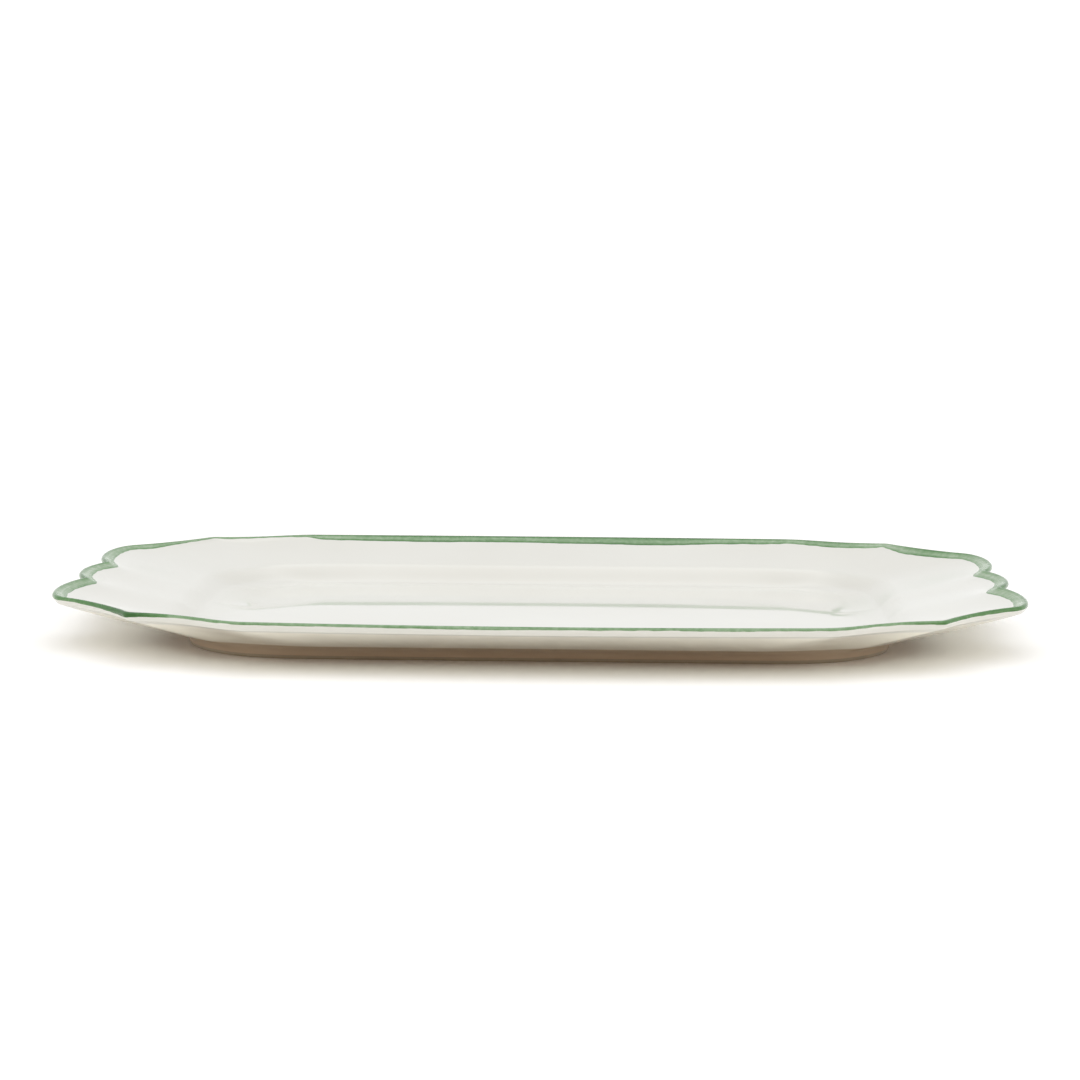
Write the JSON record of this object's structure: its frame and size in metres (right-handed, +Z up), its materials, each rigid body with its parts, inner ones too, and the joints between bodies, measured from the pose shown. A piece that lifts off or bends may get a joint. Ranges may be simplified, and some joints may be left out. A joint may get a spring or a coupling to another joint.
{
  "type": "serving platter",
  "caption": "Large oblong china serving platter: flat well, sloping rim with a lobed outline, foot ring, clear glaze and a hand-painted green edge band.",
  "frame": {"origin": "on the table under the middle of the platter", "axes": "+X along the platter's length, +Y towards its back long side, +Z up"},
  "size_m": [0.406, 0.273, 0.0225],
  "materials": {
    "china": "fired white china body under a clear glaze",
    "bare_foot": "dry unglazed china, slightly rough",
    "clear_glaze": "smooth high-gloss glaze, faintly warm white",
    "green_enamel": "glossy green enamel brushed on by hand, uneven in tone and width"
  },
  "bodies": {
    "root": {"china_body": "china", "foot_ring": "bare_foot", "top_glaze": "clear_glaze", "outside_glaze": "clear_glaze", "base_glaze": "clear_glaze", "green_edge_band": "green_enamel"}
  },
  "joints": []
}
